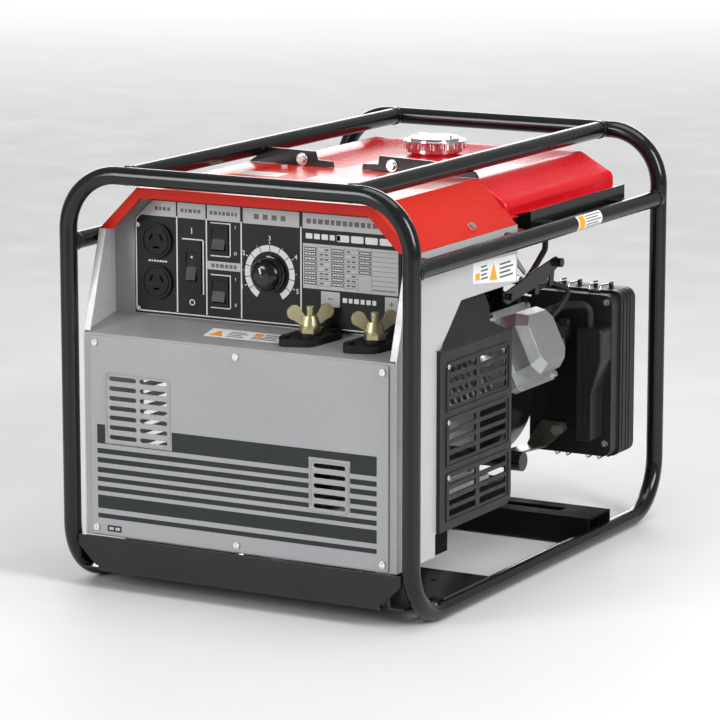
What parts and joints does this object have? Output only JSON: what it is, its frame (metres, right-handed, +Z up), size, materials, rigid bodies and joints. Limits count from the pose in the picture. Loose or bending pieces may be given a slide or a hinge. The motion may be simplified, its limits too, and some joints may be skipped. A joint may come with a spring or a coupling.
{
  "type": "engine driven welder",
  "caption": "Portable petrol engine driven arc welder in a black tube frame, with a grey control front, brass output studs, red top cover and a red fuel tank over the engine.",
  "frame": {"origin": "middle of the footprint on the ground, under the frame tubes", "axes": "+X to the right seen from the control front, +Y from the control front back to the engine and the starter, +Z up"},
  "size_m": [0.5046, 0.7222, 0.5347],
  "materials": {
    "frame_black": "black gloss powder coat",
    "panel_grey": "silver grey paint",
    "cover_red": "orange red gloss paint",
    "tank_red": "crimson gloss paint",
    "control_black": "satin black printed plate",
    "device_black": "black moulded plastic",
    "black_plastic": "grained black plastic",
    "zinc": "zinc plated steel",
    "steel": "machined steel",
    "yellow_zinc": "yellow passivated steel",
    "chrome": "chromed",
    "brass": "bare brass",
    "aluminium": "die cast aluminium",
    "cast_iron": "cast iron",
    "copper": "enamelled copper wire",
    "lamination": "stacked silicon steel sheet",
    "rubber": "black rubber",
    "board": "green circuit board",
    "filter": "pleated filter paper"
  },
  "bodies": {
    "chassis": {"front_hoop": "frame_black", "rear_hoop": "frame_black", "side_rails": "frame_black", "front_crossmember": "frame_black", "rear_crossmember": "frame_black", "rubber_mounts": "rubber", "fasteners": "zinc", "engine_bed": "frame_black", "front_bezel": "panel_grey", "side_panel_left": "panel_grey", "side_panel_right": "panel_grey", "lower_front_panel": "panel_grey", "top_cover": "cover_red", "control_plate": "control_black", "outlets": "device_black", "switch_bodies": "device_black", "control_board": "board", "terminal_bases": "device_black", "terminal_studs": "brass", "alternator_housing": "aluminium", "laminated_cores": "lamination", "copper_windings": "copper", "bearings": "steel", "crankcase": "aluminium", "cylinder_and_head": "aluminium", "valve_cover": "aluminium", "spark_plug": "rubber", "carburettor": "aluminium", "throttle_bracket": "frame_black", "hoses": "rubber", "blower_housing": "frame_black", "recoil_case": "frame_black", "drain_pipe": "frame_black", "muffler": "steel", "air_cleaner_case": "black_plastic", "air_cleaner_cover": "black_plastic", "air_filter_element": "filter", "air_cleaner_stay": "yellow_zinc", "louvre_cover": "black_plastic", "fuel_tank": "tank_red", "tank_brackets": "frame_black", "rectifier": "aluminium"},
    "breaker_lever": {"breaker_lever": "device_black"},
    "slowdown_rocker": {"slowdown_rocker": "device_black"},
    "frequency_rocker": {"frequency_rocker": "device_black"},
    "current_knob": {"current_knob": "device_black"},
    "wing_nut_neg": {"wing_nut_neg": "brass"},
    "wing_nut_pos": {"wing_nut_pos": "brass"},
    "choke_lever": {"choke_lever": "black_plastic"},
    "governor_lever": {"governor_lever": "zinc"},
    "crank": {"crankshaft": "steel", "rotor": "lamination", "cooling_fan": "aluminium", "flywheel": "cast_iron"},
    "recoil_pulley": {"recoil_pulley": "black_plastic"},
    "recoil_handle": {"recoil_handle": "black_plastic"},
    "oil_filler_cap": {"oil_filler_cap": "black_plastic"},
    "clips_top": {"clips_top": "zinc"},
    "clips_bottom": {"clips_bottom": "zinc"},
    "fuel_cap": {"fuel_cap": "chrome"}
  },
  "joints": [
    {"name": "breaker_toggle", "type": "hinge", "parent": "chassis", "child": "breaker_lever", "pos_m": [-0.10475, -0.278, 0.40435], "axis": [1, 0, 0], "range_deg": [0, 16]},
    {"name": "slowdown_rock", "type": "hinge", "parent": "chassis", "child": "slowdown_rocker", "pos_m": [-0.06545, -0.278, 0.44165], "axis": [1, 0, 0], "range_deg": [0, 16]},
    {"name": "frequency_rock", "type": "hinge", "parent": "chassis", "child": "frequency_rocker", "pos_m": [-0.06545, -0.278, 0.37665], "axis": [1, 0, 0], "range_deg": [0, 16]},
    {"name": "current_dial", "type": "hinge", "parent": "chassis", "child": "current_knob", "pos_m": [0.0062, -0.29, 0.4048], "axis": [0, 1, 0], "range_deg": [-150, 150]},
    {"name": "wing_nut_neg_turn", "type": "hinge", "parent": "chassis", "child": "wing_nut_neg", "pos_m": [0.08, -0.31, 0.36], "axis": [0, 0, 1], "range_deg": [0, 1080]},
    {"name": "wing_nut_pos_turn", "type": "hinge", "parent": "chassis", "child": "wing_nut_pos", "pos_m": [0.1685, -0.31, 0.36], "axis": [0, 0, 1], "range_deg": [0, 1080]},
    {"name": "choke", "type": "hinge", "parent": "chassis", "child": "choke_lever", "pos_m": [0.15679, 0.171, 0.26311], "axis": [1, 0, 0], "range_deg": [0, 50]},
    {"name": "governor", "type": "hinge", "parent": "chassis", "child": "governor_lever", "pos_m": [0.1215, 0.136, 0.384], "axis": [1, 0, 0], "range_deg": [-10, 15], "stiffness_Nm_per_rad": 0.3},
    {"name": "crank_spin", "type": "hinge", "parent": "chassis", "child": "crank", "pos_m": [0, 0, 0.19], "axis": [0, 1, 0], "continuous": true},
    {"name": "pulley_spin", "type": "hinge", "parent": "chassis", "child": "recoil_pulley", "pos_m": [0, 0.239, 0.19], "axis": [0, -1, 0], "range_deg": [0, 513]},
    {"name": "starter_pull", "type": "slide", "parent": "chassis", "child": "recoil_handle", "axis": [-1, 0, 0], "range_m": [0, 0.5], "stiffness_N_per_m": 8, "springref_m": -0.3},
    {"name": "oil_cap_turn", "type": "hinge", "parent": "chassis", "child": "oil_filler_cap", "pos_m": [0.076, 0.12, 0.104], "axis": [1, 0, 0], "range_deg": [0, 720]},
    {"name": "clips_top_swing", "type": "hinge", "parent": "chassis", "child": "clips_top", "pos_m": [0.173, 0.274, 0.326], "axis": [-1, 0, 0], "range_deg": [0, 85]},
    {"name": "clips_bottom_swing", "type": "hinge", "parent": "chassis", "child": "clips_bottom", "pos_m": [0.173, 0.274, 0.095], "axis": [1, 0, 0], "range_deg": [0, 85]},
    {"name": "fuel_cap_turn", "type": "hinge", "parent": "chassis", "child": "fuel_cap", "pos_m": [0, 0.163, 0.515], "axis": [0, 0, 1], "range_deg": [0, 90]}
  ],
  "couplings": [
    {"joint": "pulley_spin", "follows": "starter_pull", "rad_per_m": 17.857}
  ]
}
